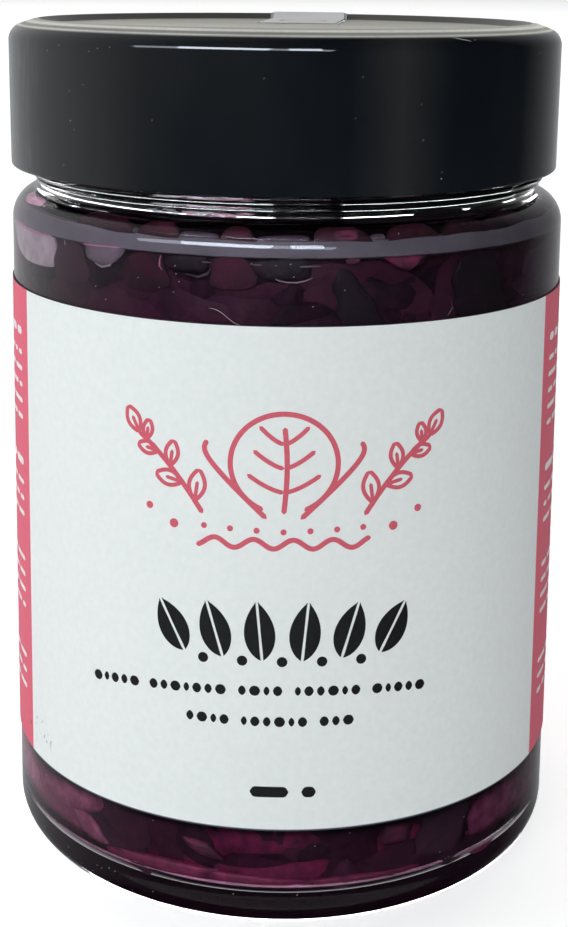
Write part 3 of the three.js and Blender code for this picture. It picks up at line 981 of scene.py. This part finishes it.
def side_print(ink):
    """Blocks of fine rows on both side panels, as plain dashes."""
    draw = random.Random(3)
    start = radians(SIDE_PANEL_FROM) * LABEL_R
    blocks = ((70, 1, 1), (67.2, 5, 0.62), (52.6, 1, 1), (49.8, 3, 0.62), (39.4, 4, 0.62), (26, 3, 0.62))
    for way in (-1, 1):
        for top, rows, height in blocks:
            for row in range(rows):
                u = start + 2.6
                end = u + (14 if rows == 1 else draw.uniform(34, 44))
                while u < end:
                    long = draw.uniform(1.4, 5.2)
                    ink.bar(u if way > 0 else -u - long, top - 2.15 * row, long, height)
                    u += long + 0.85


def print_on_label():
    inks = (
        (cabbage_drawing, "coral", (0.62, 0.085, 0.13), 0.5, "print_coral"),
        (dark_print, "dark", (0.006, 0.007, 0.009), 0.45, "print_dark"),
        (side_print, "white", (0.8, 0.78, 0.78), 0.5, "label"),
    )
    for drawn, name, color, roughness, slot in inks:
        ink = Ink()
        drawn(ink)
        look = ink_look(name + "_ink", color, roughness)
        piece_from(name + "_print", ink.places, ink.faces, look, crease=60)


def seal_route(offset):
    """The seal strip's middle line, offset mm above panel, rim, skirt and glass."""
    panel = LID_TOP - PANEL_DEPTH + offset
    top = LID_TOP + offset
    return [
        (SEAL_REACH_IN, panel),
        (PANEL_R - 0.6 - offset, panel),
        (CREST_R - 0.2, top),
        (CREST_OUT + 0.1, top - CREST_RISE),
        *arc(LID_R - LID_EDGE_R, LID_EDGE_Z, LID_EDGE_R + offset, LID_EDGE_R + offset, LID_EDGE_TURN, 0, 8),
        (LID_R + offset, LID_BOTTOM + 1),
        (GLASS_R + offset, SHOULDER_Z),
        (GLASS_R + offset, SEAL_END_Z),
    ]


def spaced(route, step):
    """The route with more points, none further than step apart."""
    places = [route[0]]
    for (r, z), (s, y) in zip(route, route[1:]):
        count = max(1, ceil(hypot(s - r, y - z) / step))
        places += [(r + (s - r) * i / count, z + (y - z) * i / count) for i in range(1, count + 1)]
    return places


def strip_over_lid(name, width, low, high, look):
    """A thin strip of the given width along the seal's route, between two offsets."""
    turn = Matrix.Rotation(radians(-SEAL_TURN), 3, "Z")
    columns = 12
    under, over = spaced(seal_route(low), 1), spaced(seal_route(high), 1)
    count = min(len(under), len(over))
    places = []
    for route in (over, under):
        for i in range(count):
            r, z = route[round(i * (len(route) - 1) / (count - 1))]
            t = min(max((r - SEAL_REACH_IN) / (PANEL_R - 2 - SEAL_REACH_IN), 0), 1)
            bend = t * t * (3 - 2 * t)
            for k in range(columns + 1):
                across = width * (k / columns - 0.5)
                along = r + (sqrt(r * r - across * across) - r) * bend
                places.append(tuple(turn @ Vector((across, along, z))))
    return piece_from(name, places, sheet_faces(columns, count - 1, 0), look)


def seal_strip():
    """A white paper strip with a clear margin and a small coral ring."""
    film = Look("seal_film", (0.75, 0.77, 0.78), 0.25, {"Transmission Weight": 0.6})
    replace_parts(strip_over_lid("seal_film", SEAL_WIDTH, SEAL_GAP * 0.3, SEAL_GAP * 0.7, film), "seal_strip")
    white = (0.8, 0.81, 0.82)
    paper = Look("seal_paper", white, 0.5)
    paper.color(paper.mix(paper.seal_mark(), white, (0.62, 0.09, 0.13)))
    strip_over_lid("seal_paper", SEAL_WIDTH - 2 * SEAL_MARGIN, SEAL_GAP * 0.7, SEAL_GAP + SEAL_SHEET, paper)


def dust():
    """Specks, a hair and a scratch on glass and lid."""
    look = Look("dust", (0.75, 0.74, 0.72), 0.8)
    strips = Strips()
    draw = random.Random(5)
    spots = [
        (-59.6, 77.6), (-20.6, 82.3), (-28.2, 80.5), (-23.8, 79.6), (-20.9, 79.2), (-19.8, 80.5), (21, 86.2),
    ]
    areas = ((26, 0, 360, 76.5, 84), (18, 0, 360, 5, 13.5), (16, -60, -25, 2.2, 4.6))
    for count, left, right, low, high in areas:
        spots += [(draw.uniform(left, right), draw.uniform(low, high)) for _ in range(count)]
    hair = [(-14 + 6.4 * t, 77.7 - 1.8 * t + 0.25 * sin(6 * t)) for t in [i / 12 for i in range(13)]]
    on_glass = [([(a, z), (a + 0.2, z + 0.1)], 0.13) for a, z in spots]
    on_glass += [(hair, 0.035), ([(-46.9, 83.7), (-46.8, 83.1)], 0.12), ([(32.4, 77.2), (31.3, 76.3)], 0.07)]
    spots = [
        (-47.4, 106.9), (-51.3, 106.2), (-38.8, 106.4), (-36.5, 106.8), (-33.6, 107), (-3.6, 104),
        (58.9, 106.3), (-44.4, 101.6), (-40.4, 102.5), (-44.2, 98.1), (-43.1, 97.1), (-46.5, 92.7),
        (-24.5, 98.9), (14, 104.2), (12.8, 99.6), (25.5, 101), (26.1, 96.9), (30.4, 93.1),
    ]
    scratch = [(33 + 0.8 * k, 108.55 - 0.09 * k) for k in range(6)]
    on_lid = [([(a, z), (a + 0.16, z + 0.09)], 0.11) for a, z in spots]
    on_lid += [(scratch, 0.05), ([(37.9, 108.2), (38.2, 108.25)], 0.14)]
    for marks, shift_x in ((on_glass, 0), (on_lid, LID_SHIFT_X)):
        for places, width in marks:
            strips.along(places, lambda z: surface_radius(z) - 0.01, width, 0.05, 0.5, shift_x)
    piece_from("dust_specks", strips.places, strips.faces, look, crease=60)


def surface_radius(z):
    """The outside at a height: heel, straight wall, shoulder, and the lid's tapered skirt."""
    if z > LID_EDGE_Z:
        rise = (z - LID_EDGE_Z) / LID_EDGE_R
        return LID_R - LID_EDGE_R * (1 - sqrt(1 - rise * rise))
    if z > LID_BOTTOM:
        share = (z - LID_BOTTOM) / (LID_EDGE_Z - LID_BOTTOM)
        return LID_R - LID_TAPER * (1 - min(share, 1))
    low = max(0, HEEL_HEIGHT - z) / HEEL_HEIGHT
    high = max(0, z - SHOULDER_Z) / SHOULDER_R
    heel = HEEL_REACH * (1 - sqrt(1 - low * low))
    return GLASS_R - heel - SHOULDER_R * (1 - sqrt(max(0, 1 - high * high)))


def camera():
    """The photograph's viewpoint, fitted to the outline of the jar."""
    away, height = 218.9, 116.1
    pitch, roll, yaw = radians(9.43), radians(0.618), radians(-0.0975)
    focal_px, optical_row = 1634, 240
    high_px = 927
    ahead = Vector((sin(yaw) * cos(pitch), cos(yaw) * cos(pitch), -sin(pitch)))
    level = Vector((cos(yaw), -sin(yaw), 0))
    upright = level.cross(ahead)
    right = level * cos(roll) + upright * sin(roll)
    up = upright * cos(roll) - level * sin(roll)
    data = bpy.data.cameras.new("camera")
    data.sensor_width = 36
    data.lens = focal_px * data.sensor_width / high_px
    data.shift_y = (optical_row - (high_px - 1) / 2) / high_px
    data.clip_start, data.clip_end = 0.01, 50
    turn = Matrix((right, up, -ahead)).transposed().to_4x4()
    eye = placed("camera", data)
    eye.matrix_world = Matrix.Translation(Vector((0, -away, height)) * MM) @ turn
    bpy.context.scene.camera = eye


def floor():
    look = Look("floor", (0.88, 0.88, 0.88), 0.75, {"Emission Color": (1, 1, 1, 1), "Emission Strength": 0.6})
    half = 9000
    mesh = bpy.data.meshes.new("floor")
    corners = [(-half, -half), (half, -half), (half, half), (-half, half)]
    mesh.from_pydata([(x * MM, y * MM, 0) for x, y in corners], [], [(0, 1, 2, 3)])
    mesh.materials.append(look.material)
    ground = placed("floor", mesh)
    ground.visible_glossy = False
    ground.visible_transmission = False


def area_light(name, place, wide, high, power, mirrored=False, lit=True, color=(1, 1, 1), aim=MIDDLE):
    """A soft rectangular light at place that faces aim; it can be only mirrored or only lit by."""
    data = bpy.data.lights.new(name, "AREA")
    data.shape = "RECTANGLE"
    data.size, data.size_y = wide * MM, high * MM
    data.energy = power
    data.color = color
    lamp = placed(name, data)
    lamp.location = Vector(place) * MM
    lamp.rotation_mode = "QUATERNION"
    lamp.rotation_quaternion = (Vector(place) - Vector(aim)).to_track_quat("Z", "Y")
    lamp.visible_glossy = mirrored
    lamp.visible_diffuse = lit


def around(azimuth, elevation, away):
    """A place round the jar's middle, by azimuth and elevation in degrees."""
    e = radians(elevation)
    return MIDDLE + (facing(radians(azimuth)) * cos(e) + Vector((0, 0, sin(e)))) * away


def window(name, start, stop, brightness):
    """A bright strip between two azimuths that only shows as a highlight."""
    away, high = 1200, 220
    wide = 2 * away * tan(radians(stop - start) / 2)
    power = brightness * pi * wide * high * MM * MM
    place = around((start + stop) / 2, LIGHT_RISE, away)
    area_light(name, place, wide, high, power, mirrored=True, lit=False, color=(0.8, 0.88, 1))


def surroundings():
    """Pale surroundings behind the jar and to its left, dark ones in front and below."""
    world = bpy.data.worlds.new("studio")
    world.use_nodes = True
    sky = Nodes(world.node_tree)
    way = sky.node("TexCoord", output="Generated")
    behind = sky.node("VectorMath", {0: way, 1: (-0.47, 0.88, 0)}, output="Value", operation="DOT_PRODUCT")
    height = sky.node("SeparateXYZ", {0: way}, output="Z")
    strength = sky.times(sky.band(behind, -0.1, 0.9, 0.03, 0.55), sky.band(height, -0.85, -0.3))
    background = sky.tree.nodes["Background"]
    background.inputs["Color"].default_value = (0.96, 0.98, 1, 1)
    sky.tree.links.new(strength, background.inputs["Strength"])
    bpy.context.scene.world = world


def lights():
    """Soft studio lights, and windows for the highlights on glass and lid."""
    area_light("key", around(-18, LIGHT_RISE, 1200), 1180, 230, 2.35)
    area_light("key_left", around(-28, LIGHT_RISE, 1190), 720, 230, 3.25)
    window("window_wide", -60, 16, 5.5)
    window("window_left", -42, -8, 13)
    window("window_right", 2.4, 14.4, 13)
    area_light("behind", (-300, 1600, 500), 3000, 800, 75, lit=False)
    area_light("left", around(-95, 20, 1300), 900, 900, 3)
    area_light("backdrop", (0, 2600, 2600), 5000, 4000, 60, aim=(0, 3000, 0))


bpy.context.scene.view_settings.view_transform = "Standard"
camera()
floor()
surroundings()
lights()
glass_jar()
brine()
painted_reflection_ring()
cabbage()
lid()
label()
print_on_label()
seal_strip()
dust()
